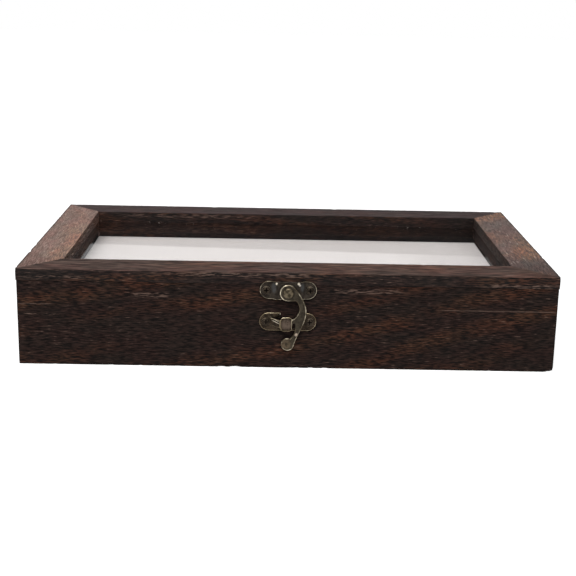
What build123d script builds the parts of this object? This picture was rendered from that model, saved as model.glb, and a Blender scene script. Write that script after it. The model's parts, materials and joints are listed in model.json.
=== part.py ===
from build123d import *
import math
import os

# Insect display box, in millimetres: +X along the length, +Z up, the latch faces -Y.
# The origin is on the surface that the box stands on, in the middle of its whole outline,
# latch and hinges included.

# Box
box_length = 270.0
box_depth = 164.0
board_thickness = 18.8
base_height = 31.5
edge_easing = 0.6
corner_easing = 1.0

# Bottom panel, with its rebate in the base boards and its pins
panel_thickness = 4.0
panel_recess = 0.5
panel_ledge = 8.0
panel_play = 0.3
pin_shank_radius = 0.6
pin_head_radius = 1.2
pin_head_height = 0.5
pin_length = 15.0
pin_inset = 3.5
pins_along_length = 4
pins_along_depth = 2
pin_corner_distance = 26.0

# Pinning foam
foam_rise = 0.7
foam_play = 0.3
foam_edge_radius = 0.5

# Lid: side strips, glass in their rebate, flat frame on top
strip_height = 12.0
frame_thickness = 6.0
rail_width = 20.6
front_rail_width = 22.4
glass_thickness = 2.0
glass_slack = 0.2
glass_ledge = 7.0
glass_play = 0.5
glass_edge = 0.2

# Butt hinges on the back
hinge_spacing = 160.0
leaf_width = 20.0
leaf_reach = 9.0
leaf_thickness = 0.8
leaf_corner_radius = 1.0
knuckle_radius = 1.9
knuckle_gap = 0.3
knuckle_back_clearance = 0.2
hinge_pin_radius = 0.8
hinge_pin_head_radius = 1.3
hinge_pin_head_length = 0.5
hinge_play = 0.05
hinge_screw_spacing = 12.0
hinge_screw_edge = 3.2

# Latch plates on the front
latch_length = 28.2
latch_height = 9.1
latch_metal = 0.8
latch_rise = 1.4
raised_length = 12.6
ramp_length = 2.0
latch_spacing = 16.3
latch_drop = 8.6
pivot_drop = 0.9
latch_screw_spacing = 21.8

# Catch: tongue bent out of the lower plate, ending in a flat tab
tongue_width = 3.8
tongue_root = 8.6
tongue_play = 0.3
tab_width = 5.5
tab_height = 7.1
tab_offset = 0.75
tab_corner_radius = 1.5
tab_clearance = 1.5
tab_window_end = 4.8
window_web = 1.2

# Swing hook and its rivet
hook_thickness = 1.0
hook_play = 0.1
hook_easing = 0.3
head_radius = 4.25
arm_reach = 9.2
arm_width = 3.6
nose_reach = 1.2
nose_height = 2.2
nose_rise = 0.8
bite_width = 2.9
neck_drop = 5.8
neck_offset = 4.2
neck_width = 2.5
thumb_radius = 3.3
thumb_drop = 26.5
rivet_shank_radius = 1.3
rivet_play = 0.06
rivet_head_radius = 2.7
rivet_head_height = 1.1
rivet_tail_radius = 2.2
rivet_tail_height = 0.5

# Wood screws of the latch and the hinges
screw_head_radius = 2.0
screw_head_height = 0.9
screw_shank_radius = 0.9
screw_length = 9.0
screw_tip_length = 2.0
screw_hole_play = 0.15
recess_width = 0.5
recess_length = 2.4
recess_depth = 0.5
hinge_screw_head_radius = 1.4
hinge_screw_head_height = 0.5
hinge_screw_length = 7.0

# Levels and places that follow from the sizes above
lid_top = base_height + strip_height + frame_thickness
strip_top = base_height + strip_height
glass_seat = strip_top - glass_thickness - glass_slack
foam_bottom = panel_recess + panel_thickness
foam_top = base_height + foam_rise
inner_length = box_length - 2 * board_thickness
inner_depth = box_depth - 2 * board_thickness
hook_back = latch_rise + latch_metal + hook_play
hook_front = hook_back + hook_thickness
rivet_head_base = hook_front + hook_play
tab_back = hook_front + tab_clearance
tab_front = tab_back + latch_metal
front_reach = max(tab_front, rivet_head_base + rivet_head_height)
knuckle_stand_off = knuckle_radius + knuckle_back_clearance
back_reach = knuckle_stand_off + knuckle_radius
front_y = -(front_reach + box_depth + back_reach) / 2 + front_reach
back_y = front_y + box_depth
middle_y = (front_y + back_y) / 2
hinge_axis_y = back_y + knuckle_stand_off
latch_level = lid_top - latch_drop
catch_level = latch_level - latch_spacing
pivot_level = latch_level - pivot_drop
catch_fall = pivot_level - catch_level
knuckle_count = 3
knuckle_length = (leaf_width - (knuckle_count - 1) * knuckle_gap) / knuckle_count


def on_front(stand_off, level=0.0, across=0.0):
    """Plane parallel to the front face, stand_off in front of it, looking out."""
    return Plane(origin=(across, front_y - stand_off, level), x_dir=(1, 0, 0), z_dir=(0, -1, 0))


def on_back(stand_off, level=0.0, across=0.0):
    """Plane parallel to the back face, stand_off behind it, looking out."""
    return Plane(origin=(across, back_y + stand_off, level), x_dir=(-1, 0, 0), z_dir=(0, 1, 0))


def block(length, depth, low, high):
    """Block centred on the box in plan, between two levels."""
    return Pos(0, middle_y, (low + high) / 2) * Box(length, depth, high - low)


def slab(sketch, plane, thickness):
    """Sketch laid on a plane and thickened outwards."""
    return extrude(plane * sketch, amount=thickness)


def ring(low, high, width, front_width):
    """Rectangular ring of walls with eased outer corners and edges, before it is cut at the mitres."""
    outer = block(box_length, box_depth, low, high)
    outer = fillet(outer.edges().filter_by(Axis.Z), corner_easing)
    outer = fillet(outer.faces().sort_by(Axis.Z)[-1].edges(), edge_easing)
    opening = block(box_length - 2 * width, box_depth - width - front_width, low - 1, high + 1)
    return outer - Pos(0, (front_width - width) / 2, 0) * opening


def side_wedge(side, low, high, width, front_width):
    """Space of one side of the ring between its two mitre planes."""
    half_x = box_length / 2
    half_y = box_depth / 2
    over = 1.0
    over_front = over * front_width / width
    inner_x = half_x - width
    inner_front = front_width - half_y
    inner_back = half_y - width
    corners = {
        "front": [(-half_x - over, -half_y - over_front), (half_x + over, -half_y - over_front),
                  (inner_x, inner_front), (-inner_x, inner_front)],
        "back": [(half_x + over, half_y + over), (-half_x - over, half_y + over),
                 (-inner_x, inner_back), (inner_x, inner_back)],
        "left": [(-half_x - over, half_y + over), (-half_x - over, -half_y - over_front),
                 (-inner_x, inner_front), (-inner_x, inner_back)],
        "right": [(half_x + over, -half_y - over_front), (half_x + over, half_y + over),
                  (inner_x, inner_back), (inner_x, inner_front)],
    }[side]
    outline = make_face(Polyline(*corners, close=True))
    return extrude(Plane(origin=(0, middle_y, low)) * outline, amount=high - low)


SIDES = ("front", "back", "left", "right")


def mitred(whole, low, high, width, front_width):
    """The ring cut into its four mitred boards, by side."""
    return {side: whole & side_wedge(side, low, high, width, front_width) for side in SIDES}


def screw(plane, head_radius, head_height, length):
    """Round-head wood screw seated on the plane, its head outwards, with a cross recess."""
    head = Pos(0, 0, head_height / 2) * Cylinder(head_radius, head_height)
    head = fillet(head.edges().group_by(Axis.Z)[-1], head_height * 0.6)
    slot = Box(recess_length, recess_width, 2 * recess_depth) + Box(recess_width, recess_length, 2 * recess_depth)
    head -= Pos(0, 0, head_height) * scale(slot, head_radius / screw_head_radius)
    shank_length = length - screw_tip_length
    shank = Pos(0, 0, -shank_length / 2) * Cylinder(screw_shank_radius, shank_length)
    tip = Pos(0, 0, -shank_length - screw_tip_length / 2) * Rot(180, 0, 0) * Cone(
        screw_shank_radius, screw_shank_radius / 4, screw_tip_length)
    return plane * (head + shank + tip)


def screw_hole(plane, length):
    """Pilot hole in the wood for a screw seated on the plane."""
    return plane * Pos(0, 0, -length / 2) * Cylinder(screw_shank_radius, length)


def plate_hole(plane, thickness):
    """Screw hole through a plate whose outer face is the plane."""
    return plane * Pos(0, 0, -thickness / 2) * Cylinder(screw_shank_radius + screw_hole_play, 2 * thickness)


def latch_screw_planes(level):
    """Seats of the two screws of a latch plate."""
    return [on_front(latch_metal, level, side * latch_screw_spacing / 2) for side in (-1, 1)]


def hinge_screw_planes(direction):
    """Seats of the screws of the base leaves (direction -1) or the lid leaves (direction 1)."""
    level = base_height + direction * (leaf_reach - hinge_screw_edge)
    return [on_back(leaf_thickness, level, hinge * hinge_spacing / 2 + side * hinge_screw_spacing / 2)
            for hinge in (-1, 1) for side in (-1, 1)]


def pin_places():
    """Places of the panel pins, a little inside the edge of the bottom panel."""
    line_x = inner_length / 2 + panel_ledge - pin_inset
    line_y = inner_depth / 2 + panel_ledge - pin_inset
    span_x = 2 * (line_x - pin_corner_distance)
    span_y = 2 * (line_y - pin_corner_distance)
    places = []
    for number in range(pins_along_length):
        along = span_x * (number / (pins_along_length - 1) - 0.5)
        places += [(along, middle_y - line_y), (along, middle_y + line_y)]
    for number in range(pins_along_depth):
        along = span_y * (number / (pins_along_depth - 1) - 0.5)
        places += [(-line_x, middle_y + along), (line_x, middle_y + along)]
    return places


def panel_pin(place):
    """Flat-head pin driven up through the bottom panel, its head flush with the panel."""
    head = Pos(0, 0, pin_head_height / 2) * Cylinder(pin_head_radius, pin_head_height)
    shank = Pos(0, 0, pin_length / 2) * Cylinder(pin_shank_radius, pin_length)
    return Pos(place[0], place[1], panel_recess) * (head + shank)


def base_boards():
    """Four boards of the base, rebated below for the panel, with pin and screw holes."""
    whole = ring(0, base_height, board_thickness, board_thickness)
    whole -= block(inner_length + 2 * panel_ledge, inner_depth + 2 * panel_ledge, -1, foam_bottom)
    for place in pin_places():
        whole -= panel_pin(place)
    for plane in latch_screw_planes(catch_level):
        whole -= screw_hole(plane, screw_length)
    for plane in hinge_screw_planes(-1):
        whole -= screw_hole(plane, hinge_screw_length)
    return mitred(whole, 0, base_height, board_thickness, board_thickness)


def bottom_panel():
    """Plywood panel in the rebate of the boards."""
    panel = block(inner_length + 2 * (panel_ledge - panel_play), inner_depth + 2 * (panel_ledge - panel_play),
                  panel_recess, foam_bottom)
    for place in pin_places():
        panel -= panel_pin(place)
    return panel


def pinning_foam():
    """Foam slab on the panel, its top about level with the seam."""
    foam = block(inner_length - 2 * foam_play, inner_depth - 2 * foam_play, foam_bottom, foam_top)
    return fillet(foam.faces().sort_by(Axis.Z)[-1].edges(), foam_edge_radius)


def lid_strips():
    """Four strips of the lid, rebated above for the glass, with screw holes."""
    whole = ring(base_height, strip_top, board_thickness, board_thickness)
    whole -= block(inner_length + 2 * glass_ledge, inner_depth + 2 * glass_ledge, glass_seat, strip_top + 1)
    for plane in latch_screw_planes(latch_level):
        whole -= screw_hole(plane, screw_length)
    for plane in hinge_screw_planes(1):
        whole -= screw_hole(plane, hinge_screw_length)
    tail_room = on_front(0, pivot_level) * Cylinder(rivet_tail_radius + rivet_play, 2 * rivet_tail_height)
    return mitred(whole - tail_room, base_height, strip_top, board_thickness, board_thickness)


def top_rails():
    """Four rails of the flat frame on top, which overhang the strips inwards and hold the glass down."""
    whole = ring(strip_top, lid_top, rail_width, front_rail_width)
    return mitred(whole, strip_top, lid_top, rail_width, front_rail_width)


def glass_pane():
    """Pane in the rebate of the strips, with ground edges."""
    pane = block(inner_length + 2 * (glass_ledge - glass_play), inner_depth + 2 * (glass_ledge - glass_play),
                 glass_seat, glass_seat + glass_thickness)
    return chamfer(pane.edges(), glass_edge)


def knuckle_centre(number, hinge_x):
    """Middle of one knuckle along the hinge axis, counted from the left."""
    return hinge_x - leaf_width / 2 + knuckle_length / 2 + number * (knuckle_length + knuckle_gap)


def hinge_leaf(hinge_x, direction, numbers):
    """Leaf that reaches from its knuckles down (direction -1) or up (direction 1) over the back face."""
    near = knuckle_radius + knuckle_gap
    plate = Rectangle(leaf_width, leaf_reach - near)
    plate = fillet(plate.vertices().group_by(Axis.Y)[0 if direction < 0 else -1], leaf_corner_radius)
    middle = base_height + direction * (leaf_reach + near) / 2
    leaf = slab(plate, on_back(0, middle, hinge_x), leaf_thickness)
    for number in numbers:
        centre = knuckle_centre(number, hinge_x)
        web_low = knuckle_gap / 2
        web_high = near + leaf_corner_radius
        web = Rectangle(knuckle_length, web_high - web_low)
        web_plane = on_back(0, base_height + direction * (web_low + web_high) / 2, centre)
        barrel = Pos(centre, hinge_axis_y, base_height) * Rot(0, 90, 0) * Cylinder(knuckle_radius, knuckle_length)
        leaf += slab(web, web_plane, leaf_thickness)
        leaf += barrel
    bore = Rot(0, 90, 0) * Cylinder(hinge_pin_radius + hinge_play, 2 * leaf_width)
    leaf -= Pos(hinge_x, hinge_axis_y, base_height) * bore
    for plane in hinge_screw_planes(direction):
        leaf -= plate_hole(plane, leaf_thickness)
    return leaf


def hinge_pin(hinge_x):
    """Pin through the three knuckles, with a low head at each end."""
    shank = Rot(0, 90, 0) * Cylinder(hinge_pin_radius, leaf_width)
    pin = Pos(hinge_x, hinge_axis_y, base_height) * shank
    for side in (-1, 1):
        head = Rot(0, 90, 0) * Cylinder(hinge_pin_head_radius, hinge_pin_head_length)
        head = fillet(head.edges().group_by(Axis.X)[0 if side < 0 else -1], hinge_pin_head_length * 0.6)
        place = hinge_x + side * (leaf_width + hinge_pin_head_length) / 2
        pin += Pos(place, hinge_axis_y, base_height) * head
    return pin


def latch_plate():
    """Upper plate: a strip with round ends whose middle is pressed forward into a low bridge."""
    inner = raised_length / 2
    outer = inner + ramp_length
    end = latch_length / 2
    top = latch_rise + latch_metal
    profile = Polyline((-end, 0), (-outer, 0), (-inner, latch_rise), (inner, latch_rise), (outer, 0), (end, 0),
                       (end, latch_metal), (outer, latch_metal), (inner, top), (-inner, top),
                       (-outer, latch_metal), (-end, latch_metal), close=True)
    across = Plane(origin=(0, front_y, latch_level - latch_height / 2), x_dir=(1, 0, 0), z_dir=(0, 0, 1))
    bridge = extrude(across * mirror(make_face(profile), Plane.XZ), amount=latch_height)
    strip = slab(SlotOverall(latch_length, latch_height), on_front(-1, latch_level), top + 2)
    plate = bridge & strip
    for plane in latch_screw_planes(latch_level):
        plate -= plate_hole(plane, latch_metal)
    shank_hole = Cylinder(rivet_shank_radius, 4 * latch_metal)
    return plate - on_front(latch_rise, pivot_level) * shank_hole


def catch_plate():
    """Lower plate, with a tongue struck out of it that ramps forward and ends in a flat tab."""
    plate = slab(SlotOverall(latch_length, latch_height), on_front(0, catch_level), latch_metal)
    tab_left = -tab_offset - tab_width / 2
    window_low = -latch_height / 2 + window_web
    tongue_window = Pos((tab_left - tongue_root) / 2, 0) * Rectangle(
        tongue_root + tab_left, tongue_width + 2 * tongue_play)
    tab_window = Pos((tab_left + tab_window_end) / 2, (window_low + latch_height) / 2) * Rectangle(
        tab_window_end - tab_left, latch_height - window_low)
    for window in (tongue_window, tab_window):
        plate -= slab(window, on_front(-1, catch_level), latch_metal + 2)
    for plane in latch_screw_planes(catch_level):
        plate -= plate_hole(plane, latch_metal)
    ramp = Polyline((-tongue_root, 0), (tab_left, tab_back),
                    (tab_left + tab_width / 2, tab_back), (tab_left + tab_width / 2, tab_front),
                    (tab_left - latch_metal / 2, tab_front), (-tongue_root, latch_metal), close=True)
    across = Plane(origin=(0, front_y, catch_level - tongue_width / 2), x_dir=(1, 0, 0), z_dir=(0, 0, 1))
    tongue = extrude(across * mirror(make_face(ramp), Plane.XZ), amount=tongue_width)
    tab = RectangleRounded(tab_width, tab_height, tab_corner_radius)
    return plate + tongue + slab(tab, on_front(tab_back, catch_level, -tab_offset), latch_metal)


def hook_outline():
    """Front view of the hook about its pivot: head, arm bowed to the right, nose, neck and thumb tab."""
    nose_level = nose_rise - catch_fall
    neck_level = -catch_fall - neck_drop
    neck_left = neck_offset - neck_width / 2
    neck_right = neck_offset + neck_width / 2
    arm_level = -0.6 * catch_fall
    shoulder = head_radius * math.sqrt(0.5)
    inner_arm = arm_reach - arm_width
    outer = Spline((shoulder, shoulder), (arm_reach - 2.8, -head_radius / 3), (arm_reach, arm_level),
                   (neck_right, neck_level), (thumb_radius, -thumb_drop))
    thumb_line = Line((thumb_radius, -thumb_drop), (0, -thumb_drop))
    neck = Spline((0, -thumb_drop), (neck_left - 1.4, neck_level - 2), (neck_left, neck_level),
                  (neck_left + 0.6, nose_level - nose_height / 2 - bite_width / 2),
                  (nose_reach + nose_height, nose_level - nose_height / 2))
    nose_low = Line((nose_reach + nose_height, nose_level - nose_height / 2),
                    (nose_reach + nose_height / 2, nose_level - nose_height / 2))
    nose_tip = ThreePointArc((nose_reach + nose_height / 2, nose_level - nose_height / 2),
                             (nose_reach, nose_level),
                             (nose_reach + nose_height / 2, nose_level + nose_height / 2))
    inner = Spline((nose_reach + nose_height / 2, nose_level + nose_height / 2),
                   (inner_arm - 0.8, nose_level + nose_height + 1.6), (inner_arm, arm_level + 1),
                   (inner_arm - 1.2, -head_radius - 0.4), (0, -head_radius),
                   tangents=[(1, 0.45), (-1, 0)])
    head_line = Line((0, -head_radius), (shoulder, shoulder))
    body = make_face([outer, thumb_line, neck, nose_low, nose_tip, inner, head_line])
    return body + Circle(head_radius) + Pos(0, -thumb_drop) * Circle(thumb_radius)


def latch_hook():
    """Flat stamped swing arm on the rivet, its nose behind the tab, with eased edges."""
    hook = slab(hook_outline(), on_front(hook_back, pivot_level), hook_thickness)
    hook = chamfer(hook.faces().sort_by(Axis.Y)[0].edges(), hook_easing)
    bore = Cylinder(rivet_shank_radius + rivet_play, 4 * hook_thickness)
    return hook - on_front(hook_back, pivot_level) * bore


def latch_rivet():
    """Round-head rivet, spread behind the raised middle of the plate."""
    head = Pos(0, 0, rivet_head_height / 2) * Cylinder(rivet_head_radius, rivet_head_height)
    head = fillet(head.edges().group_by(Axis.Z)[-1], rivet_head_height * 0.7)
    shank_length = rivet_head_base - latch_rise
    shank = Pos(0, 0, -shank_length / 2) * Cylinder(rivet_shank_radius, shank_length)
    tail = Pos(0, 0, -shank_length - rivet_tail_height / 2) * Cylinder(rivet_tail_radius, rivet_tail_height)
    return on_front(rivet_head_base, pivot_level) * (head + shank + tail)


def build_nodes():
    """Every piece of the box, by node name."""
    nodes = {}
    for side, board in base_boards().items():
        nodes[f"base_{side}_board"] = board
    nodes["bottom_panel"] = bottom_panel()
    nodes["panel_pins"] = Compound(children=[panel_pin(place) for place in pin_places()])
    nodes["pinning_foam"] = pinning_foam()
    for side, strip in lid_strips().items():
        nodes[f"lid_{side}_strip"] = strip
    for side, rail in top_rails().items():
        nodes[f"top_{side}_rail"] = rail
    nodes["glass_pane"] = glass_pane()
    for name, side in (("left", -1), ("right", 1)):
        hinge_x = side * hinge_spacing / 2
        nodes[f"hinge_{name}_base_leaf"] = hinge_leaf(hinge_x, -1, (0, 2))
        nodes[f"hinge_{name}_lid_leaf"] = hinge_leaf(hinge_x, 1, (1,))
        nodes[f"hinge_{name}_pin"] = hinge_pin(hinge_x)
    for name, direction in (("base", -1), ("lid", 1)):
        nodes[f"hinge_{name}_screws"] = Compound(children=[
            screw(plane, hinge_screw_head_radius, hinge_screw_head_height, hinge_screw_length)
            for plane in hinge_screw_planes(direction)])
    for name, level in (("catch", catch_level), ("latch", latch_level)):
        nodes[f"{name}_screws"] = Compound(children=[
            screw(plane, screw_head_radius, screw_head_height, screw_length)
            for plane in latch_screw_planes(level)])
    nodes["latch_plate"] = latch_plate()
    nodes["catch_plate"] = catch_plate()
    nodes["latch_rivet"] = latch_rivet()
    nodes["latch_hook"] = latch_hook()
    return nodes


os.makedirs("parts", exist_ok=True)
for node_name, solid in build_nodes().items():
    export_step(solid, f"parts/{node_name}.step")
print("front face", front_y, "hinge axis", hinge_axis_y, base_height, "pivot level", pivot_level)
print("hook middle", front_y - (hook_back + hook_front) / 2, "foam top", foam_top, "glass seat", glass_seat)
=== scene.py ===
import json
import math

import bmesh
import bpy
from mathutils import Euler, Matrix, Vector, noise

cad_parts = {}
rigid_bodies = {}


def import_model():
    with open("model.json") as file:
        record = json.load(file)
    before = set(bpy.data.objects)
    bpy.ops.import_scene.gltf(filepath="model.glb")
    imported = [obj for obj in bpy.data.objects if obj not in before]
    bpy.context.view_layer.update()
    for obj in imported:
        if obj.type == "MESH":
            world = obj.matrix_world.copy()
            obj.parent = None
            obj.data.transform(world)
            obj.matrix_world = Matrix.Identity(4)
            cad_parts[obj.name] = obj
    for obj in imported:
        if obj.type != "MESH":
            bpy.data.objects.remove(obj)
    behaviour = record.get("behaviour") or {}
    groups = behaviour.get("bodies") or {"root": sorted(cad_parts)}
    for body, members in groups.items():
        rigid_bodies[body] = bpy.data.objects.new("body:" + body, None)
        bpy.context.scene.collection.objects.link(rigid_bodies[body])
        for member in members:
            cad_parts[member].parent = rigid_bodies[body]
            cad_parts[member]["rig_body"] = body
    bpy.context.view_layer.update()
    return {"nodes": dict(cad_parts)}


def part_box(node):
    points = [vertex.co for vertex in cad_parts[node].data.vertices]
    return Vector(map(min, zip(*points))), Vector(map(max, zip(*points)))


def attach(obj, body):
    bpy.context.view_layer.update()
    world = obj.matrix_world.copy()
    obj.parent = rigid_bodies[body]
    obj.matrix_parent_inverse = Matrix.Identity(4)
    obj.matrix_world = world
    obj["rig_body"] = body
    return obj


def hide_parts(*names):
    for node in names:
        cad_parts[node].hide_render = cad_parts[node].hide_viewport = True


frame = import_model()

nodes = frame["nodes"]
stage = bpy.context.scene
MM = 0.001

# Camera: level with the photograph's, a little above the box and in front of it, with a long lens.
# Its axis is in the middle of the picture, so it has no shift.
camera_place = Vector((-7.87, -648.8, 194.6)) * MM
camera_turn = Euler([math.radians(angle) for angle in (74.935, -1.148, -0.465)])
sensor_width = 36.0
focal_pixels = 1187.5
picture_width = 576

camera_data = bpy.data.cameras.new("camera")
camera_data.sensor_width = sensor_width
camera_data.lens = focal_pixels / picture_width * sensor_width
camera_data.clip_start = 0.02
camera = bpy.data.objects.new("camera", camera_data)
camera.location = camera_place
camera.rotation_euler = camera_turn
stage.collection.objects.link(camera)
stage.camera = camera
stage.view_settings.view_transform = "Standard"

# Floor, backdrop and light: a wide white floor with soft light from above and in front. The floor and the sky
# are white to the camera and through the glass, and the floor keeps the shadow. Mirrors, and reflections
# inside the pane, see a darker room with a pale wall far behind the box, its lower edge a little slanted.
white = (1.0, 1.0, 1.0)
floor_size = 6.0
floor_colour = (0.45, 0.45, 0.45)
floor_glow = 0.78
floor_mirrored = 0.48
sky_front = 0.80
sky_back = 0.22
sky_turn = (-0.35, 0.55)
room_low = 0.02
room_wall = 0.56
room_wall_fall = 0.26
room_high = 0.36
room_front = 0.30
room_top = 1.0
wall_foot_slope = (0.0164, 0.2349)
wall_foot_blur = (-0.0008, 0.0012)
wall_top_slope = 0.30
wall_top_blur = (0.0, 0.12)
wall_side_blur = (-0.1, 0.1)
wall_fall_blur = (0.10, 0.14)
room_top_blur = (0.35, 0.85)


class Wire:
    """A shader socket. An expression on wires and numbers adds the Math nodes that work it out."""

    def __init__(self, finish, socket):
        self.finish = finish
        self.socket = socket

    def maths(self, operation, *others):
        return self.finish.add("ShaderNodeMath", {"operation": operation}, {
            number: value for number, value in enumerate((self, *others))})

    def __add__(self, other):
        return self.maths("ADD", other)

    __radd__ = __add__

    def __sub__(self, other):
        return self.maths("SUBTRACT", other)

    def __rsub__(self, other):
        return self.maths("MULTIPLY", -1.0).maths("ADD", other)

    def __mul__(self, other):
        return self.maths("MULTIPLY", other)

    __rmul__ = __mul__

    def __truediv__(self, other):
        return self.maths("DIVIDE", other)

    def __pow__(self, other):
        return self.maths("POWER", other)

    def size(self):
        """The value without its sign."""
        return self.maths("ABSOLUTE")

    def step(self, low, high):
        """0 below low, 1 above high, smooth between. With low above high it falls instead."""
        return self.finish.add("ShaderNodeMapRange", {"interpolation_type": "SMOOTHSTEP"}, {
            "Value": self, "From Min": low, "From Max": high})


class Finish:
    """A material under construction, or the world's light: its node tree, and one method that adds any node
    to it."""

    def __init__(self, name, group="materials", output="ShaderNodeOutputMaterial"):
        self.material = getattr(bpy.data, group).new(name)
        self.material.use_nodes = True
        self.tree = self.material.node_tree
        self.tree.nodes.clear()
        self.output = self.tree.nodes.new(output)

    def add(self, kind, settings=None, values=None, result=0):
        """Add a node, set its settings, then its sockets. Returns one of its outputs."""
        node = self.tree.nodes.new(kind)
        for name, value in (settings or {}).items():
            setattr(node, name, value)
        for name, value in (values or {}).items():
            socket = node.inputs[name]
            if isinstance(value, Wire):
                self.tree.links.new(value.socket, socket)
            elif isinstance(value, tuple) and len(value) == 3 and socket.type == "RGBA":
                socket.default_value = (*value, 1.0)
            else:
                socket.default_value = value
        return Wire(self, node.outputs[result])

    def place(self, turn=(0, 0, 0), shift=(0, 0, 0)):
        """Object coordinates, turned and moved."""
        here = self.add("ShaderNodeTexCoord", result="Object")
        return self.add("ShaderNodeMapping", {"vector_type": "POINT"}, {
            "Vector": here, "Rotation": turn, "Location": shift})

    def parts(self, place):
        """The three coordinates of a place."""
        return [self.add("ShaderNodeSeparateXYZ", {}, {0: place}, result=axis) for axis in "XYZ"]

    def stretched(self, place, share):
        """A place with its first axis taken at a share, which draws a pattern out along that axis."""
        return self.add("ShaderNodeVectorMath", {"operation": "MULTIPLY"}, {0: place, 1: (share, 1.0, 1.0)})

    def cloud(self, place, scale, detail=2.0, roughness=0.5, distortion=0.0):
        """Noise from 0 to 1."""
        return self.add("ShaderNodeTexNoise", {}, {
            "Vector": place, "Scale": scale, "Detail": detail, "Roughness": roughness,
            "Distortion": distortion})

    def cells(self, place, scale):
        """How far the nearest of many scattered points is."""
        return self.add("ShaderNodeTexVoronoi", {"feature": "F1"}, {"Vector": place, "Scale": scale})

    def tint(self, mask, first, second, way="MIX"):
        """One colour laid over another by a mask."""
        return self.add("ShaderNodeMix", {"data_type": "RGBA", "blend_type": way}, {
            0: mask, 6: first, 7: second}, result=2)

    def relief(self, height, distance, strength=1.0):
        """Bump from a height."""
        return self.add("ShaderNodeBump", {}, {"Height": height, "Distance": distance, "Strength": strength})

    def surface(self, **values):
        """The material's own shader, wired to its output."""
        self.show(self.add("ShaderNodeBsdfPrincipled", {}, {
            name.replace("_", " "): value for name, value in values.items()}))

    def show(self, shader):
        """Wire a shader to the output."""
        self.tree.links.new(shader.socket, self.output.inputs["Surface"])


def seen(finish):
    """Two masks: what the camera sees, also through clear glass, and what is seen by reflection."""
    camera_ray = finish.add("ShaderNodeLightPath", result="Is Camera Ray")
    through = finish.add("ShaderNodeLightPath", result="Is Transmission Ray")
    mirror = finish.add("ShaderNodeLightPath", result="Is Glossy Ray")
    bounced = finish.add("ShaderNodeLightPath", result="Glossy Depth").maths("GREATER_THAN", 0.5)
    return camera_ray.maths("MAXIMUM", through * (1.0 - bounced)), mirror.maths("MAXIMUM", through * bounced)


def dress(piece, material):
    """Give every face of a piece this one material."""
    piece.data.materials.clear()
    piece.data.materials.append(material)


def lamp(name, place, size, watts):
    """Square soft lamp, aimed at the box."""
    data = bpy.data.lights.new(name, "AREA")
    data.shape = "SQUARE"
    data.size = size
    data.energy = watts
    lit_object = bpy.data.objects.new(name, data)
    lit_object.location = place
    lit_object.rotation_euler = (-Vector(place)).to_track_quat("-Z", "Y").to_euler()
    stage.collection.objects.link(lit_object)


floor_mesh = bpy.data.meshes.new("floor")
half_floor = floor_size / 2
floor_corners = [(-half_floor, -half_floor, 0), (half_floor, -half_floor, 0), (half_floor, half_floor, 0),
                 (-half_floor, half_floor, 0)]
floor_mesh.from_pydata(floor_corners, [], [(0, 1, 2, 3)])
floor = bpy.data.objects.new("floor", floor_mesh)
stage.collection.objects.link(floor)
floor_finish = Finish("white_floor")
floor_seen, floor_in_mirror = seen(floor_finish)
floor_diffuse = floor_finish.add("ShaderNodeBsdfDiffuse", {}, {"Color": floor_colour})
floor_shine = floor_finish.add("ShaderNodeEmission", {}, {
    "Color": white, "Strength": floor_seen * floor_glow + floor_in_mirror * floor_mirrored})
floor_finish.show(floor_finish.add("ShaderNodeAddShader", {}, {0: floor_diffuse, 1: floor_shine}))
dress(floor, floor_finish.material)

studio = Finish("studio", "worlds", "ShaderNodeOutputWorld")
sky_x, sky_y, sky_z = studio.parts(studio.add("ShaderNodeTexCoord", result="Generated"))
above_foot = (sky_z - sky_x * wall_foot_slope[0] - sky_y * wall_foot_slope[1]).step(*wall_foot_blur)
above_wall = (sky_z - sky_y * wall_top_slope).step(*wall_top_blur)
behind = sky_y.step(*wall_side_blur)
wall_glow = room_wall - room_low - sky_x.step(*wall_fall_blur) * room_wall_fall
room_behind = above_foot * wall_glow + above_wall * (room_high - room_wall) + room_low
room_round = behind * (room_behind - room_front) + room_front
mirrored = room_round + sky_z.step(*room_top_blur) * (room_top - room_round)
plain_white, glossy_sees = seen(studio)
sky_soft = sky_y.step(*sky_turn) * (sky_back - sky_front) + sky_front
lit = glossy_sees * (mirrored - sky_soft) + sky_soft
sky_strength = plain_white * (1.0 - lit) + lit
studio.show(studio.add("ShaderNodeBackground", {}, {"Color": white, "Strength": sky_strength}))
stage.world = studio.material

lamp("key", place=(-0.35, -1.0, 1.35), size=0.8, watts=21)
lamp("fill", place=(0.2, -1.5, 0.8), size=1.0, watts=3)

# Walls of burnt and brushed light-weight hardwood. The four boards of the base and the four strips of the lid
# were one glued-up box that was sawn apart, so each pair shares its grain across the seam. The corners are
# mitred, and a rebate takes the bottom panel below and the glass above.
SIDES = {"front": ("x", -1), "back": ("x", 1), "left": ("y", -1), "right": ("y", 1)}
front_low, front_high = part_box("base_front_board")
panel_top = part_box("bottom_panel")[1].z
glass_low, glass_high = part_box("glass_pane")
outer_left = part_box("base_left_board")[0].x
outer_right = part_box("base_right_board")[1].x
outer_front = front_low.y
outer_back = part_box("base_back_board")[1].y
seam_level = front_high.z
strip_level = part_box("lid_front_strip")[1].z
lid_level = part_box("top_front_rail")[1].z
wall = front_high.y - front_low.y
middle = Vector((0, (outer_front + outer_back) / 2, 0))
half_sides = {"x": (outer_right - outer_left) / 2, "y": (outer_back - outer_front) / 2}
panel_rebate = 8.0 * MM
glass_rebate = 7.0 * MM
wall_inset = 0.3 * MM
corner_round = 1.0 * MM
edge_round = 0.5 * MM
seam_round = 0.12 * MM
mitre_gap = 0.03 * MM
round_steps = 3
sharp_angle = math.radians(35)

# How finely a board is divided: across it, along it, and in the rows close to its ends.
grid = 0.8 * MM
long_grid = 1.5 * grid
end_grid = 0.25 * MM
end_rows = 5

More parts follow.
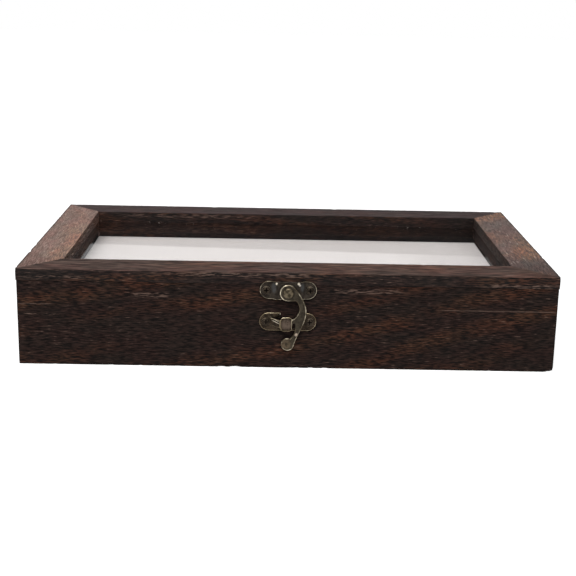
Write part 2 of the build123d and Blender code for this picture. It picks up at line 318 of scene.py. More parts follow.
# How a board is worn: how fast its waves, chips and frays change, (along, across), how far the wear of an
# edge reaches in, and how much of it is even, frayed and chipped. Dents are longer along the board.
wave_scale = (55, 160)
chip_scale = (210, 300)
fray_scale = (900, 90)
wear_reach = 1.6 * MM
wear_even = 0.4
wear_frayed = 0.6
wear_chipped = 3.0
chip_level = 0.36
dent_stretch = 2.2


def rounded(section):
    """Closed section of (inwards, up, radius) corners, with the convex ones rounded and its flats divided."""
    points = [Vector(corner[:2]) for corner in section]
    count = len(points)
    outline = []
    reach = []
    for number, here in enumerate(points):
        back = (points[number - 1] - here).normalized()
        onward = (points[(number + 1) % count] - here).normalized()
        radius = section[number][2] if back.x * onward.y - back.y * onward.x < 0 else 0
        reach.append((here, back, onward, radius))
    for number, (here, back, onward, radius) in enumerate(reach):
        if radius:
            centre = here + (back + onward) * radius
            for step in range(round_steps + 1):
                angle = math.pi / 2 * step / round_steps
                outline.append(centre - onward * radius * math.cos(angle) - back * radius * math.sin(angle))
        else:
            outline.append(here)
        start = here + onward * radius
        following = reach[(number + 1) % count]
        stop = following[0] - onward * following[3]
        cells = max(1, round((stop - start).length / grid))
        outline += [start + (stop - start) * part / cells for part in range(1, cells)]
    return outline


def stations(half_length):
    """Places along a board from end to end, from -1 to 1, close together at its ends."""
    cells = round(2 * half_length / long_grid)
    places = [2 * number / cells - 1 for number in range(cells + 1)]
    close = [1 - row * end_grid / half_length for row in range(1, end_rows + 1)]
    return sorted(set(places + close + [-place for place in close]))


def rough(along, inwards, up, scale, seed):
    """Uneven value from about -1 to 1 at a place on a board."""
    return noise.noise(Vector((along * scale[0], inwards * scale[1], up * scale[1] + seed)))


def lost(along, inwards, up, corners, seed, wear, dents):
    """How much wood is gone at a place on a board, by slow waves, worn and chipped corners, and dents."""
    loss = wear["wave"] * (0.5 + 0.5 * rough(along, inwards, up, wave_scale, seed))
    for corner, softness in corners:
        near = (corner - Vector((inwards, up))).length
        if near < wear_reach and softness > 0:
            chip = rough(along, corner.x, corner.y, chip_scale, seed * 1.7)
            fray = rough(along, inwards, up, fray_scale, seed * 2.3)
            worn = wear_even + wear_frayed * max(0.0, fray) + wear_chipped * max(0.0, chip - chip_level)
            loss += (1 - near / wear_reach) * softness * wear["edge"] * worn
    for dent_along, dent_in, dent_up, dent_reach, dent_depth in dents:
        to_dent = Vector(((along - dent_along) / dent_stretch, inwards - dent_in, up - dent_up))
        away = to_dent.length / dent_reach
        if away < 1:
            loss += dent_depth * (1 - away * away) ** 2
    return loss


def board(name, side, section, seed, wear, dents=(), mitres=(1.0, 1.0)):
    """Mitred board: its section carried along one side of the box between two mitre planes, with worn edges,
    slow waves from the plane and brush, and dents at chosen places (along, inwards, up, reach, depth). Mitres
    are how far its two ends draw back for each step inwards."""
    along_axis, sense = SIDES[side]
    half_length = half_sides[along_axis]
    reach = half_sides["y" if along_axis == "x" else "x"]
    outline = rounded(section)
    centre = sum(outline, Vector((0, 0))) / len(outline)
    corners = [(Vector(corner[:2]), min(1.0, corner[2] / edge_round)) for corner in section]
    places = stations(half_length)
    verts = []
    for place in places:
        for inwards, up in outline:
            cut = inwards * mitres[0 if place < 0 else 1]
            end = half_length - max(cut, corner_round * (1 - math.sqrt(0.5)) + wear["inset"]) - mitre_gap
            along = place * end
            beyond = corner_round - (half_length - wear["inset"] - abs(along))
            if beyond > 0:
                curve = corner_round - math.sqrt(max(0, corner_round ** 2 - beyond ** 2))
                inwards = max(inwards, curve + wear["inset"])
            loss = lost(along, inwards, up, corners, seed, wear, dents)
            pull = (centre - Vector((inwards, up))).normalized() * loss
            across = sense * (reach - inwards - pull.x)
            flat = (along, across) if along_axis == "x" else (across, along)
            verts.append((flat[0] + middle.x, flat[1] + middle.y, up + pull.y))
    count = len(outline)
    faces = [(row * count + column, row * count + (column + 1) % count,
              (row + 1) * count + (column + 1) % count, (row + 1) * count + column)
             for row in range(len(places) - 1) for column in range(count)]
    faces += [tuple(range(count)), tuple(range((len(places) - 1) * count, len(places) * count))]
    mesh = bpy.data.meshes.new(name)
    mesh.from_pydata(verts, [], faces)
    shape = bmesh.new()
    shape.from_mesh(mesh)
    bmesh.ops.triangulate(shape, faces=[face for face in shape.faces if len(face.verts) > 4])
    bmesh.ops.recalc_face_normals(shape, faces=shape.faces)
    shape.to_mesh(mesh)
    shape.free()
    mesh.polygons.foreach_set("use_smooth", [True] * len(mesh.polygons))
    mesh.set_sharp_from_angle(angle=sharp_angle)
    piece = bpy.data.objects.new(name, mesh)
    stage.collection.objects.link(piece)
    return piece


def deeper(tones, share):
    """The same tones at a share of their lightness."""
    return tuple(tuple(part * share for part in tone) for tone in tones)


GLUE_TONE = (0.17, 0.105, 0.088)
HUES = ((0.94, 1.01, 1.02), (1.06, 0.97, 0.98))
ring_bend = 16 * MM
ring_waver = 6 * MM
saw_line = (0.30 * MM, 0.16 * MM)
glue_run = (0.8 * MM, 0.3 * MM)
grain_depth = 0.22 * MM


def burnt_wood(name, along, heart, lean, spacing, seed, tones, top_sheen_tones=None, reach=0.14, sheen=0.06, pale=(),
               seams=None, glue=None, dim=None, coarse=1.0, margin=None):
    """Burnt and brushed wood. Its rings go round a heart that lies beside the board and leans against it, so
    that they run out as long rising bands. Tones are those of the pits, the dark and the light fibres, the
    rings and the bare fibre ends, and the top tones give paler ones for a rail's top, a painted sheen.
    Reach is how far the fibres are drawn out: less is longer. The flecks are bare fibre, and also painted
    glints where raised fibres catch the light. Pale places, each (along, its half length, up, its half
    height), show more bare fibre. Outside the two seams the saw cut shows as a bare line. Glue is where a run
    of dried glue stands on the inner side. Dim, (from, to, share), takes the lightness down along the board.
    Coarse, below 1, widens the fibres of the painted paler top, and at the margin, (from, to) across the
    board, the paler top stops and the edge keeps the burnt tones."""
    finish = Finish(name)
    turn = (0, 0, 0) if along == "x" else (0, 0, -math.pi / 2)
    place = finish.place(turn=turn)
    own = finish.place(turn=turn, shift=(seed * 0.37, seed * 0.11, 0))
    length, across, up = finish.parts(place)
    top = None
    # A rail's top takes its paler tones here: a painted sheen.
    if top_sheen_tones:
        top = up.step(lid_level - 0.55 * MM, lid_level - 0.10 * MM)
        if margin:
            top = top * across.step(margin[1], margin[0])
        tones = [finish.tint(top, low, high) for low, high in zip(tones, top_sheen_tones)]
    pit, dark, body, glow, bare = tones

    def strands(slender, scale, **shape):
        """Noise drawn out along the fibres, in wider ones on the painted paler top."""
        lie = finish.stretched(own, reach * slender)
        fine = finish.cloud(lie, scale, **shape)
        if coarse == 1.0:
            return fine
        return fine + top * (finish.cloud(lie, scale * coarse, **shape) - fine)

    bend = finish.cloud(finish.stretched(own, 0.9), scale=15.0, detail=1.0)
    waver = finish.cloud(finish.stretched(own, 0.3), scale=90.0, detail=3.0, roughness=0.6)
    beside = across - heart[0] + length * lean[0]
    above = up - heart[1] + length * lean[1] + length * length * lean[2]
    distance = (beside * beside + above * above) ** 0.5
    ring = (distance + (bend - 0.5) * ring_bend + (waver - 0.5) * ring_waver) / spacing
    ring = ring.maths("FRACT")
    band = ring.step(0.12, 0.46) * ring.step(0.92, 0.58)
    patch = finish.cloud(finish.stretched(own, 0.45), scale=34.0, detail=2.0, roughness=0.6)
    broad = finish.cloud(finish.stretched(own, reach), scale=190.0, detail=3.0, roughness=0.6)
    dash = strands(slender=1.0, scale=1250.0, detail=2.0, roughness=0.7, distortion=0.15)
    line = strands(slender=0.7, scale=2300.0, detail=1.0, roughness=0.6)
    pore = strands(slender=0.6, scale=2300.0, detail=1.0, roughness=0.5, distortion=0.3).step(0.55, 0.63)
    grain = dash * 0.30 + line * 0.70
    rosy = finish.cloud(finish.stretched(own, 0.45), scale=110.0, detail=2.0, roughness=0.55)
    # Flecks of bare fibre, painted also as glints where raised fibres catch the light.
    fleck_and_glint = line.step(0.60, 0.68) * (broad * 0.5 + dash).step(0.78, 0.92)
    fibre = finish.tint(band * patch.step(0.36, 0.60), body, glow)
    base = finish.tint(grain.step(0.42, 0.57), dark, fibre)
    hue = finish.tint(rosy.step(0.38, 0.62), *HUES)
    base = finish.tint(1.0, base, hue, "MULTIPLY")
    for pale_along, pale_length, pale_up, pale_height in pale:
        spot_along = ((length - pale_along) / pale_length).size()
        spot_up = ((up - pale_up) / pale_height).size()
        spot = spot_along.step(1.0, 0.5) * spot_up.step(1.0, 0.5) * grain.step(0.49, 0.56)
        fleck_and_glint = fleck_and_glint.maths("MAXIMUM", spot)
    base = finish.tint(fleck_and_glint * 0.75, base, bare)
    if seams:
        sawn = (up - seam_level).size().step(*saw_line)
        ends = length.step(seams[0], seams[0] - 6 * MM) + length.step(seams[1], seams[1] + 8 * MM)
        base = finish.tint(sawn * ends * broad.step(0.30, 0.45) * 0.7, base, bare)
    if glue:
        run = (length - glue + (waver - 0.5) * (3 * MM)).size().step(*glue_run)
        run = run * up.step(lid_level - 0.4 * MM, lid_level - 1.0 * MM)
        run = run * across.step(outer_back - 0.5 * wall, outer_back - 0.6 * wall)
        base = finish.tint(run * waver.step(0.42, 0.55), base, GLUE_TONE)
    base = finish.tint(pore * 0.7, base, pit)
    shade = 0.96 + 0.08 * broad
    if dim:
        shade = shade * (length.step(dim[0], dim[1]) * (dim[2] - 1.0) + 1.0)
    grey = finish.add("ShaderNodeCombineColor", {}, {0: shade, 1: shade, 2: shade})
    base = finish.tint(1.0, base, grey, "MULTIPLY")
    height = grain * 0.9 + band * 0.25 - pore * 0.5
    finish.surface(Base_Color=base, Roughness=0.55 + 0.16 * broad + 0.14 * pore, Specular_IOR_Level=sheen,
                   Normal=finish.relief(height, grain_depth))
    return finish.material


WALL_TONES = ((0.0022, 0.0016, 0.0015), (0.0072, 0.0050, 0.0045), (0.0250, 0.0145, 0.0118),
              (0.0600, 0.0258, 0.0150), (0.120, 0.078, 0.062))
front_pale = ((-0.070, 0.014, 0.0370, 1.6 * MM), (0.040, 0.022, 0.0405, 1.6 * MM),
              (-0.124, 0.010, 0.0262, 0.5 * MM))
wall_finishes = {
    "front": burnt_wood("front_wood", "x", heart=(-0.081, -0.3078), lean=(0.0, -0.22, -0.40), spacing=0.0155,
                        seed=1.0, tones=WALL_TONES, pale=front_pale, seams=(-0.115, 0.072)),
    # Back wall: a darker copy of the same wood, darker again towards the right, a painted shade.
    "back": burnt_wood("back_wood", "x", heart=(0.165, -0.160), lean=(0.0, 0.20, 0.3), spacing=0.0140,
                       seed=5.0, tones=deeper(WALL_TONES, 0.64), glue=-0.1148, dim=(-0.030, 0.050, 0.68)),
    "left": burnt_wood("left_wood", "y", heart=(0.200, -0.190), lean=(0.0, 0.24, 0.2), spacing=0.0150,
                       seed=9.0, tones=WALL_TONES),
    # Right wall: a darker copy of the same wood, a painted shade.
    "right": burnt_wood("right_wood", "y", heart=(-0.205, -0.180), lean=(0.0, -0.22, 0.3), spacing=0.0150,
                        seed=13.0, tones=deeper(WALL_TONES, 0.8)),
}
wall_wear = {"inset": wall_inset, "wave": 0.05 * MM, "edge": 0.25 * MM}
base_dents = {
    "front": [(0.012, 0, 0, 0.9 * MM, 0.6 * MM), (0.019, 0, 0, 0.7 * MM, 0.5 * MM),
              (0.005, 0, 0, 0.7 * MM, 0.4 * MM), (-0.033, 0, 0, 1.2 * MM, 0.5 * MM),
              (-0.026, 0, 0, 1.6 * MM, 0.6 * MM), (0.1345, 0, 0, 2.2 * MM, 1.0 * MM),
              (-0.1340, 0, 0.006, 0.9 * MM, 0.4 * MM)],
    "back": [(0.040, 0, 0, 1.0 * MM, 0.5 * MM)],
    "left": [(0.030, 0, 0, 1.0 * MM, 0.5 * MM)],
    "right": [(-0.0815, 0, 0, 2.2 * MM, 1.0 * MM)],
}
for number, side in enumerate(SIDES):
    low_section = [(wall_inset, 0, edge_round), (wall_inset, seam_level, seam_round),
                   (wall, seam_level, seam_round), (wall, panel_top, seam_round),
                   (wall - panel_rebate, panel_top, 0), (wall - panel_rebate, 0, seam_round)]
    low_board = board(f"wall_{side}_base", side, low_section, 10.0 * number, wall_wear, base_dents[side])
    dress(low_board, wall_finishes[side])
    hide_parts(f"base_{side}_board")
    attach(low_board, "base")
    high_section = [(wall_inset, seam_level, seam_round), (wall_inset, strip_level, seam_round),
                    (wall - glass_rebate, strip_level, seam_round), (wall - glass_rebate, glass_low.z, 0),
                    (wall, glass_low.z, seam_round), (wall, seam_level, seam_round)]
    high_board = board(f"wall_{side}_lid", side, high_section, 10.0 * number + 5, wall_wear)
    dress(high_board, wall_finishes[side])
    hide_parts(f"lid_{side}_strip")
    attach(high_board, "lid")

# Flat frame on top: four thin rails of the same wood, glued over the glass with mitred corners. They stand a
# little proud of the walls. Their flat tops are painted paler than their sides, each rail in its own tone,
# as a painted sheen, and show the rings as bands.
front_rail_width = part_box("top_front_rail")[1].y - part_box("top_front_rail")[0].y
rail_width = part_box("top_left_rail")[1].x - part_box("top_left_rail")[0].x
rail_foot = glass_high.z + 0.02 * MM
rail_seat = wall - glass_rebate + 0.3 * MM
side_mitres = (front_rail_width / rail_width, 1.0)
rail_mitres = {"front": (rail_width / front_rail_width,) * 2, "back": (1.0, 1.0), "left": side_mitres,
               "right": side_mitres}
rail_wear = {"inset": 0.0, "wave": 0.06 * MM, "edge": 0.35 * MM}
SIDE_TONES = ((0.010, 0.007, 0.006), (0.030, 0.019, 0.016), (0.066, 0.042, 0.035), (0.105, 0.058, 0.040),
              (0.24, 0.19, 0.16))
# Paler tones for each rail's top, a painted sheen: lightest on the left, darkest and greyest on the back.
TOP_SHEEN_TONES = {
    "front": ((0.016, 0.010, 0.008), (0.034, 0.020, 0.016), (0.098, 0.058, 0.047), (0.135, 0.070, 0.049),
              (0.22, 0.145, 0.115)),
    "back": ((0.028, 0.020, 0.019), (0.038, 0.027, 0.026), (0.060, 0.042, 0.040), (0.074, 0.047, 0.041),
             (0.12, 0.095, 0.09)),
    "left": ((0.120, 0.078, 0.064), (0.175, 0.112, 0.092), (0.265, 0.180, 0.152), (0.350, 0.205, 0.142),
             (0.52, 0.42, 0.35)),
    "right": ((0.062, 0.045, 0.042), (0.105, 0.076, 0.068), (0.165, 0.120, 0.106), (0.290, 0.150, 0.090),
              (0.52, 0.46, 0.40)),
}
front_rail_pale = ((-0.022, 0.050, lid_level - 1.4 * MM, 1.3 * MM), (-0.116, 0.020, 0.0455, 1.0 * MM),
                   (0.116, 0.022, strip_level + 1.0 * MM, 1.5 * MM))
# The sides of the rails are copies of one wood at different lightness, painted light and painted shade:
# lightest on the left, then the right, the front and the back.
rail_finishes = {
    "front": burnt_wood("front_rail_wood", "x", heart=(-0.100, -0.340), lean=(0.03, -0.10, -0.1),
                        spacing=0.0100, seed=21.0, tones=WALL_TONES, top_sheen_tones=TOP_SHEEN_TONES["front"], reach=0.15,
                        sheen=0.12, pale=front_rail_pale, coarse=0.42),
    "back": burnt_wood("back_rail_wood", "x", heart=(0.030, -0.330), lean=(0.02, 0.08, 0.1), spacing=0.0095,
                       seed=27.0, tones=deeper(WALL_TONES, 0.75), top_sheen_tones=TOP_SHEEN_TONES["back"], reach=0.14,
                       sheen=0.12, pale=((-0.060, 0.050, 0.0475, 1.4 * MM),), glue=-0.1132, coarse=0.5),
    "left": burnt_wood("left_rail_wood", "y", heart=(0.185, -0.320), lean=(0.20, 0.05, 0.2), spacing=0.0100,
                       seed=33.0, tones=deeper(SIDE_TONES, 1.6), top_sheen_tones=TOP_SHEEN_TONES["left"], reach=0.15,
                       sheen=0.15, pale=((0.020, 0.030, 0.0468, 0.5 * MM),), dim=(-0.030, -0.078, 0.72),
                       coarse=0.85, margin=(0.1335, 0.1346)),
    "right": burnt_wood("right_rail_wood", "y", heart=(-0.140, -0.210), lean=(0.30, -0.10, 0.6),
                        spacing=0.0110, seed=39.0, tones=deeper(SIDE_TONES, 0.6), top_sheen_tones=TOP_SHEEN_TONES["right"],
                        reach=0.16, sheen=0.15, dim=(-0.020, -0.070, 0.56), coarse=0.85,
                        margin=(-0.1338, -0.1346)),
}
rail_dents = {
    "front": [(0.060, 0, lid_level, 0.9 * MM, 0.3 * MM)],
    "back": [(-0.045, 0, lid_level, 1.2 * MM, 0.4 * MM), (0.030, 0, lid_level, 1.0 * MM, 0.4 * MM)],
    "left": [(-0.045, 0, lid_level, 1.6 * MM, 0.5 * MM), (-0.030, 0, lid_level, 1.2 * MM, 0.4 * MM)],
    "right": [(-0.040, 0, lid_level, 1.2 * MM, 0.3 * MM)],
}
for number, side in enumerate(SIDES):
    inner = front_rail_width if side == "front" else rail_width
    rail_section = [(0, strip_level, seam_round), (0, lid_level, edge_round), (inner, lid_level, edge_round),
                    (inner, rail_foot, seam_round), (rail_seat, rail_foot, seam_round),
                    (rail_seat, strip_level, 0)]
    rail = board(f"rail_{side}", side, rail_section, 70.0 + 10.0 * number, rail_wear, rail_dents[side],
                 rail_mitres[side])
    dress(rail, rail_finishes[side])
    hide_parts(f"top_{side}_rail")
    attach(rail, "lid")

# Bottom panel of thin plywood, laid in the rebate of the four walls from below. Its face is raw and pale,
# with a slow figure and fine dark pores that run along the box.
panel_finish = Finish("raw_plywood")
panel_place = panel_finish.place()
panel_figure = panel_finish.cloud(panel_finish.stretched(panel_place, 0.12), scale=60.0, detail=4.0,
                                  roughness=0.6, distortion=0.6)
panel_fibre = panel_finish.cloud(panel_finish.stretched(panel_place, 0.04), scale=1500.0, detail=3.0,
                                 roughness=0.6)
panel_colour = panel_finish.tint(panel_figure.step(0.35, 0.65), (0.40, 0.26, 0.15), (0.55, 0.40, 0.25))
panel_colour = panel_finish.tint(panel_fibre.step(0.5, 0.75) * 0.5, panel_colour, (0.26, 0.16, 0.09))
panel_finish.surface(Base_Color=panel_colour, Roughness=0.55 + 0.2 * panel_fibre, Specular_IOR_Level=0.35,
                     Normal=panel_finish.relief(panel_fibre, 0.08 * MM, 0.6))
dress(nodes["bottom_panel"], panel_finish.material)

# Panel pins: small pins of drawn steel, driven up through the border of the bottom panel into the walls until
# their heads are flush. The steel is bare, with fine scratches.
pin_finish = Finish("drawn_steel")
pin_scratch = pin_finish.cloud(pin_finish.place(), scale=2600.0, detail=3.0, roughness=0.7)
pin_colour = pin_finish.tint(pin_scratch.step(0.4, 0.7), (0.34, 0.33, 0.33), (0.55, 0.55, 0.56))
pin_finish.surface(Base_Color=pin_colour, Metallic=1.0, Roughness=0.28 + 0.25 * pin_scratch)
dress(nodes["panel_pins"], pin_finish.material)

# Pinning foam: a white closed-cell slab cut with a hot wire, laid loose on the bottom panel. Its top is
# level, with softly rounded edges and a faint skin of fine cells.
foam_low, foam_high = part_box("pinning_foam")
foam_size = foam_high - foam_low
foam_centre = (foam_high + foam_low) / 2
foam_inset = 0.05 * MM
foam_short = 0.9 * MM
foam_round = 0.5 * MM
foam_mesh = bpy.data.meshes.new("foam_slab")
foam_shape = bmesh.new()
bmesh.ops.create_cube(foam_shape, size=1.0)
for vert in foam_shape.verts:
    vert.co = Vector([vert.co[axis] * (foam_size[axis] - 2 * foam_inset) + foam_centre[axis]
                      for axis in range(3)])
    if vert.co.x < 0:
        vert.co.x += foam_short
bmesh.ops.bevel(foam_shape, geom=foam_shape.edges[:], offset=foam_round, segments=4, profile=0.5,
                affect="EDGES")
for face in foam_shape.faces:
    face.smooth = face.calc_area() < foam_size.z * foam_size.z
foam_shape.to_mesh(foam_mesh)
foam_shape.free()
foam = bpy.data.objects.new("foam_slab", foam_mesh)
stage.collection.objects.link(foam)
foam_finish = Finish("white_foam")
foam_place = foam_finish.place()
foam_cell = foam_finish.cells(foam_place, scale=1300.0)
foam_soft = foam_finish.cloud(foam_place, scale=35.0)
foam_colour = foam_finish.tint(foam_soft.step(0.3, 0.7), (0.880, 0.850, 0.838), (0.905, 0.878, 0.868))
foam_colour = foam_finish.tint(foam_cell.step(0.5, 0.9) * 0.25, foam_colour, (0.72, 0.69, 0.68))
foam_finish.surface(Base_Color=foam_colour, Roughness=0.82, Specular_IOR_Level=0.25,
                    Normal=foam_finish.relief(foam_cell, 0.05 * MM, 0.5))
dress(foam, foam_finish.material)
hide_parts("pinning_foam")
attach(foam, "base")

# Glass pane: clear glass, 2 mm thick, laid in the rebate of the lid strips under the frame. Its faces mirror
# less than plain glass does, it lets lamps through, and it has a little dust and lint, mostly along the back.
glass_tint = (0.995, 0.988, 0.985)
glass_index = 1.5
softened = 0.4
lint_colour = (0.42, 0.36, 0.33)
glass_finish = Finish("clear_glass")
glass_place = glass_finish.place()
dust_spot = glass_finish.cells(glass_place, scale=260.0)
dust_some = glass_finish.cloud(glass_place, scale=90.0, detail=2.0, roughness=0.6)
dust_back = glass_finish.parts(glass_place)[1].step(0.050, 0.062)
dust_size = dust_some.step(0.55, 0.85) * 0.08 + dust_some.step(0.42, 0.60) * dust_back * 0.05 + 0.02
dust = dust_spot.maths("LESS_THAN", dust_size)
pane = glass_finish.add("ShaderNodeBsdfPrincipled", {}, {
    "Base Color": glass_tint, "Roughness": 0.0, "IOR": glass_index, "Transmission Weight": 1.0})
soft_pane = glass_finish.add("ShaderNodeBsdfRefraction", {}, {
    "Color": glass_tint, "Roughness": 0.0, "IOR": glass_index})
weak_mirror = glass_finish.add("ShaderNodeMixShader", {}, {0: softened, 1: pane, 2: soft_pane})
lint = glass_finish.add("ShaderNodeBsdfPrincipled", {}, {"Base Color": lint_colour, "Roughness": 0.9})
clear = glass_finish.add("ShaderNodeBsdfTransparent", {}, {"Color": (0.975, 0.965, 0.96)})
shadow_ray = glass_finish.add("ShaderNodeLightPath", result="Is Shadow Ray")
bounce_ray = glass_finish.add("ShaderNodeLightPath", result="Is Diffuse Ray")
dusty = glass_finish.add("ShaderNodeMixShader", {}, {0: dust, 1: weak_mirror, 2: lint})
glass_finish.show(glass_finish.add("ShaderNodeMixShader", {}, {
    0: shadow_ray.maths("MAXIMUM", bounce_ray), 1: dusty, 2: clear}))
dress(nodes["glass_pane"], glass_finish.material)

# Hinges: two small butt hinges laid on the back, each with a base leaf, a lid leaf and a pin. The leaves are
# pressed from sheet brass and rolled round the pin, plated dark, and rubbed bright on their rounded edges.
# GLINT is the colour of the painted highlights on the brass.
GLINT = (0.85, 0.76, 0.60)
PLATE_TONES = ((0.022, 0.018, 0.015), (0.048, 0.039, 0.031))
FACE, EDGE, RECESS = range(3)
weld_distance = 0.0005 * MM
flat_angle = math.radians(1.0)
bevel_angle = math.radians(30)
plating_depth = 0.05 * MM
glint_waver = 1 * MM


def plated(name, dark, light, glints=(), rim=None):
    """Antique plating: dark and mottled, darkest in its fine pits. Glints are painted highlights and painted
    reflections, each (along, up, radius, colour) and perhaps the turn and slimness of a streak. Rim is the
    level of a screw head's top, the way in from it, 1 or -1, and the head's height: its border is painted
    bright, a painted highlight."""
    finish = Finish(name)
    place = finish.place()
    mottle = finish.cloud(place, scale=480.0, detail=3.0, roughness=0.62)
    pitted = finish.cloud(place, scale=1600.0, detail=2.0, roughness=0.7)
    colour = finish.tint(mottle.step(0.36, 0.66), dark, light)
    across, depth, height = finish.parts(place)
    for along, up, radius, glint_colour, *streak in glints:
        turn, slim = streak or (0.0, 1.0)
        lengthwise = (across - along) * math.cos(turn) + (height - up) * math.sin(turn)
        crosswise = ((height - up) * math.cos(turn) - (across - along) * math.sin(turn)) * slim
        away = (lengthwise * lengthwise + crosswise * crosswise) ** 0.5
        spot = (away + (mottle - 0.5) * glint_waver).step(radius, 0.4 * radius) * mottle.step(0.22, 0.52)
        colour = finish.tint(spot, colour, glint_colour)
    if rim:
        level, inwards, reach = rim
        border = ((depth - level) * inwards).step(reach * 0.4, reach)
        colour = finish.tint(border * mottle.step(0.25, 0.5), colour, GLINT)
    colour = finish.tint(pitted.step(0.60, 0.72) * 0.6, colour, tuple(0.3 * part for part in dark))
    finish.surface(Base_Color=colour, Metallic=1.0, Roughness=0.34 + 0.3 * (pitted - 0.3),
                   Normal=finish.relief(mottle * 0.7 + pitted * 0.4, plating_depth, 0.6))
    return finish.material


def rubbed(name, bright, worn):
    """Edge rubbed through to bare brass, with duller stretches in it."""
    finish = Finish(name)
    place = finish.place()
    scuff = finish.cloud(place, scale=650.0, detail=3.0, roughness=0.65)
    stretch = finish.cloud(place, scale=170.0)
    colour = finish.tint((scuff * 0.5 + stretch * 0.8).step(0.56, 0.86), worn, bright)
    finish.surface(Base_Color=colour, Metallic=1.0, Roughness=0.30 + 0.15 * scuff)
    return finish.material


# Near-black painted shade, put in screw recesses and on the unworn edges of screws.
recess_shade_finish = Finish("painted_recess_shade")
recess_shade_spread = recess_shade_finish.cloud(recess_shade_finish.place(), scale=1500.0)
recess_shade_colour = recess_shade_finish.tint(recess_shade_spread, (0.001, 0.001, 0.001), (0.004, 0.003, 0.003))
recess_shade_finish.surface(Base_Color=recess_shade_colour, Roughness=0.9, Specular_IOR_Level=0.02)


def anywhere(place):
    """Every edge is worn."""
    return True


def dressed(node, name, bevel, face, edge, worn=anywhere, head=None):
    """A CAD node's own shape with its edges rounded, and in another material where they are worn. Head is the
    level that the piece's screw heads reach and the depth of their recesses, which are painted near-black as
    a painted shade, as are those of its edges that aren't worn."""
    mesh = nodes[node].data.copy()
    mesh.name = name
    mesh.materials.clear()
    for material in (face, edge, recess_shade_finish.material):
        mesh.materials.append(material)
    shape = bmesh.new()
    shape.from_mesh(mesh)
    bmesh.ops.remove_doubles(shape, verts=shape.verts, dist=weld_distance)
    bmesh.ops.dissolve_limit(shape, angle_limit=flat_angle, verts=shape.verts, edges=shape.edges)
    bmesh.ops.recalc_face_normals(shape, faces=shape.faces)
    for part in shape.faces:
        part.smooth = True
        part.material_index = FACE
        # Screw recesses take the painted shade.
        if head:
            depth = max(abs(vert.co.y - head[0]) for vert in part.verts)
            facing = abs(part.normal.y)
            side_or_bottom = facing < 0.2 or (facing > 0.99 and depth > 0.8 * head[1])
            if side_or_bottom and depth < head[1] + 0.02 * MM:
                part.material_index = RECESS
    shape.to_mesh(mesh)
    shape.free()
    piece = bpy.data.objects.new(name, mesh)
    stage.collection.objects.link(piece)
    rounding = piece.modifiers.new("rounding", "BEVEL")
    rounding.width = bevel
    rounding.segments = 2
    rounding.limit_method = "ANGLE"
    rounding.angle_limit = bevel_angle
    rounding.material = EDGE
    smooth = bpy.data.meshes.new_from_object(piece.evaluated_get(bpy.context.evaluated_depsgraph_get()))
    piece.modifiers.clear()
    piece.data = smooth
    # Edges that aren't worn keep the face colour, or on screws take the painted shade.
    for part in smooth.polygons:
        if part.material_index == EDGE and not worn(part.center):
            part.material_index = RECESS if head else FACE
    smooth.set_sharp_from_angle(angle=sharp_angle)
    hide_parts(node)
    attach(piece, nodes[node]["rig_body"])


hinge_face = plated("hinge_plating", *PLATE_TONES)
bright_edge = rubbed("rubbed_brass", (0.95, 0.84, 0.63), (0.11, 0.085, 0.055))
for side in ("left", "right"):
    for part in ("base_leaf", "lid_leaf", "pin"):
        dressed(f"hinge_{side}_{part}", f"{side}_hinge_{part}", 0.12 * MM, hinge_face, bright_edge)

# Hinge screws: eight small round-head screws of turned brass with a cross recess, four through the base
# leaves and four through the lid leaves. The plating is rubbed on the head, its border is painted bright as a
# painted highlight, and the recess is painted near-black as a painted shade.
screw_edge = rubbed("rubbed_screw", (0.50, 0.42, 0.29), (0.16, 0.12, 0.08))
for node in ("hinge_base_screws", "hinge_lid_screws"):
    head_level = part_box(node)[1].y
    screw_face = plated(f"{node}_plating", (0.030, 0.023, 0.017), (0.085, 0.067, 0.046),
                        rim=(head_level, -1, 0.28 * MM))
    dressed(node, f"{node}_turned", 0.05 * MM, screw_face, screw_edge,
            worn=lambda place: head_level - place.y > 0.4 * MM, head=(head_level, 0.35 * MM))

# Latch screws: four larger ones of the same kind, two through the catch plate into the base and two through
# the latch plate into the lid. Their heads are seated on the faces of the plates.
for node in ("catch_screws", "latch_screws"):
    head_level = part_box(node)[0].y
    # Painted highlight on each head's border and painted shade in its recess, as on the hinge screws.
    screw_face = plated(f"{node}_plating", (0.026, 0.020, 0.015), (0.062, 0.048, 0.035),
                        rim=(head_level, 1, 0.52 * MM))
    dressed(node, f"{node}_turned", 0.06 * MM, screw_face, screw_edge,
            worn=lambda place: place.y - head_level > 0.7 * MM, head=(head_level, 0.5 * MM))

# Latch plates: round-ended plates pressed from sheet brass, the upper one with a raised middle for the hook
# and the lower one, the catch, with a tongue and a tab bent out of it. Two screws hold each on the front.
plate_low, plate_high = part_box("latch_plate")
catch_low, catch_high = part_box("catch_plate")
plate_radius = (plate_high.z - plate_low.z) / 2
plate_level = (plate_high.z + plate_low.z) / 2
catch_level = catch_low.z + plate_radius
sheet_metal = 0.8 * MM
raised_half = 6.3 * MM
rim_width = 0.35 * MM


def outer_edge(place):
    """True on the rim of a latch plate and on the tongue and tab, false round its holes and on its raised
    middle."""
    on_catch = place.z <= plate_low.z - 1 * MM
    level = catch_level if on_catch else plate_level
    beyond = max(0.0, abs(place.x) - (plate_high.x - plate_radius))
    from_spine = math.hypot(beyond, place.z - level)
    in_front = on_catch and place.y < outer_front - sheet_metal - 0.1 * MM
    raised = not on_catch and abs(place.x) < raised_half and place.z > level
    return in_front or (from_spine > plate_radius - rim_width and not raised)
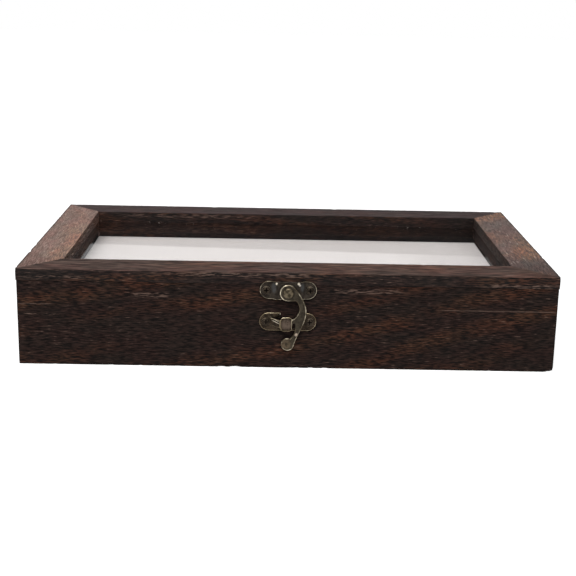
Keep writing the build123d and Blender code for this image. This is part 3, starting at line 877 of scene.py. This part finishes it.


# Painted highlights at the tops of the raised middle's ramps, and a painted grey reflection down each ramp.
plate_face = plated("plate_plating", *PLATE_TONES, [
    (-raised_half + 0.4 * MM, plate_high.z - 1.0 * MM, 0.8 * MM, GLINT),
    (raised_half - 1.2 * MM, plate_high.z - 0.9 * MM, 0.8 * MM, GLINT),
    (raised_half - 0.6 * MM, plate_high.z - 1.7 * MM, 0.7 * MM, (0.5, 0.45, 0.40)),
    (-raised_half - 0.9 * MM, plate_high.z - 3.2 * MM, 3.6 * MM, (0.072, 0.070, 0.068), math.pi / 2, 2.2),
    (raised_half + 0.7 * MM, plate_high.z - 2.8 * MM, 3.0 * MM, (0.066, 0.064, 0.062), math.pi / 2, 2.4)])
# Painted highlights on the catch plate: two streaks along the tongue, a small one on the edge above the tab,
# and a paler patch on the tab.
catch_face = plated("catch_plating", (0.024, 0.018, 0.013), (0.062, 0.045, 0.031), [
    (-6.5 * MM, catch_level + 1.75 * MM, 3.0 * MM, GLINT, -0.22, 12.0),
    (-6.0 * MM, catch_level + 0.55 * MM, 3.0 * MM, GLINT, -0.22, 14.0),
    (-3.7 * MM, catch_high.z - 0.5 * MM, 0.9 * MM, (0.5, 0.45, 0.38), 0.9, 3.0),
    (-0.7 * MM, catch_level, 3.6 * MM, (0.120, 0.088, 0.068))])
catch_edge = rubbed("rubbed_catch", (0.95, 0.82, 0.58), (0.45, 0.35, 0.21))
dressed("latch_plate", "latch_upper_plate", 0.20 * MM, plate_face, bright_edge, outer_edge)
dressed("catch_plate", "latch_lower_plate", 0.22 * MM, catch_face, catch_edge, outer_edge)

# Rivet: a round-head brass rivet, spread behind the raised middle of the latch plate. The hook turns on it,
# and its head is worn to a warmer tone.
rivet_face = plated("rivet_plating", (0.042, 0.034, 0.023), (0.160, 0.128, 0.084))
dressed("latch_rivet", "hook_rivet", 0.12 * MM, rivet_face, screw_edge)

# Hook: a flat arm stamped from the same sheet, with a round head on the rivet, a nose that goes behind the
# tab of the catch, and a round thumb tab. Its edges are bright, but not round the slot of the nose.
hook_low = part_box("latch_hook")[0]
nose_x = 2.9 * MM
nose_level = 23.3 * MM
nose_radius = 1.7 * MM


def off_nose(place):
    """False round the slot of the hook's nose, which stays dark."""
    return math.hypot(place.x - nose_x, place.z - nose_level) > nose_radius


# Painted highlights on the hook: a spot on the neck and a paler patch on the thumb, where light falls.
hook_face = plated("hook_plating", (0.034, 0.028, 0.021), (0.064, 0.053, 0.038), [
    (4.3 * MM, 18.7 * MM, 1.1 * MM, (0.45, 0.36, 0.28)),
    (hook_low.x + 3.3 * MM, hook_low.z + 3.3 * MM, 3.4 * MM, (0.120, 0.088, 0.058))])
dressed("latch_hook", "swing_hook", 0.22 * MM, hook_face, bright_edge, off_nose)
